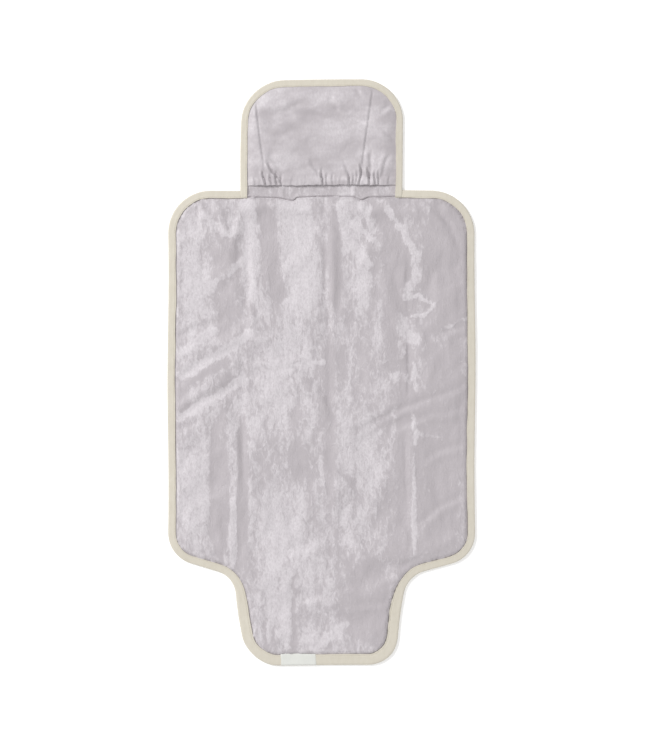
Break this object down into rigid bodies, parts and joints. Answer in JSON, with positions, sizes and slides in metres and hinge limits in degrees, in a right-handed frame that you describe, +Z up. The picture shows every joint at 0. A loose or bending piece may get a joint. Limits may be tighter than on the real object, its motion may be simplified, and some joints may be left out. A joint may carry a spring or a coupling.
{
  "type": "changing pad",
  "caption": "Thin padded changing pad with folding sides, a rounded foot flap and an elastic-topped pocket on its head flap, edged all round with binding tape.",
  "frame": {"origin": "on the floor, under the middle of the opened pad's bounding box", "axes": "+Y along the pad towards the pocket flap, +X to the right seen from above with the pocket at the top, +Z up"},
  "size_m": [0.392, 0.749, 0.0086],
  "materials": {
    "satin": "silky crushed lilac-grey satin",
    "backing": "matt lilac-grey cloth",
    "wadding": "soft white wadding",
    "binding": "matt cream cotton tape",
    "thread": "cream sewing thread",
    "elastic": "flat white braided elastic",
    "label": "plain off-white woven tape"
  },
  "bodies": {
    "centre": {"centre_front_cover": "satin", "centre_wadding": "wadding", "centre_back_cover": "backing", "centre_head_corner_bindings": "binding", "centre_foot_corner_bindings": "binding", "centre_stitching": "thread"},
    "left_side": {"left_front_cover": "satin", "left_wadding": "wadding", "left_back_cover": "backing", "left_binding": "binding", "left_stitching": "thread"},
    "right_side": {"right_front_cover": "satin", "right_wadding": "wadding", "right_back_cover": "backing", "right_binding": "binding", "right_stitching": "thread"},
    "foot_flap": {"foot_front_cover": "satin", "foot_wadding": "wadding", "foot_back_cover": "backing", "foot_binding": "binding", "foot_stitching": "thread", "label": "label"},
    "pocket_flap": {"flap_back_cover": "backing", "flap_interlining": "wadding", "flap_lining": "satin", "flap_binding": "binding", "flap_stitching": "thread", "pocket_left_panel": "satin", "pocket_right_panel": "satin", "pocket_hem_casing_ends": "satin", "pocket_elastic_ends": "elastic"},
    "pocket_front": {"pocket_front_panel": "satin", "pocket_hem_casing": "satin", "pocket_elastic": "elastic"}
  },
  "joints": [
    {"name": "left_fold", "type": "hinge", "parent": "centre", "child": "left_side", "pos_m": [-0.11, 0, 0.0054], "axis": [0, 1, 0], "range_deg": [0, 179]},
    {"name": "right_fold", "type": "hinge", "parent": "centre", "child": "right_side", "pos_m": [0.11, 0, 0.0054], "axis": [0, -1, 0], "range_deg": [0, 179]},
    {"name": "foot_fold", "type": "hinge", "parent": "centre", "child": "foot_flap", "pos_m": [0, -0.286, 0.00905], "axis": [-1, 0, 0], "range_deg": [0, 179]},
    {"name": "head_fold", "type": "hinge", "parent": "centre", "child": "pocket_flap", "pos_m": [0, 0.232, 0.01085], "axis": [1, 0, 0], "range_deg": [0, 179]},
    {"name": "pocket_mouth", "type": "hinge", "parent": "pocket_flap", "child": "pocket_front", "pos_m": [0, 0.3652, 0.0022], "axis": [1, 0, 0], "range_deg": [-18, 0]}
  ]
}
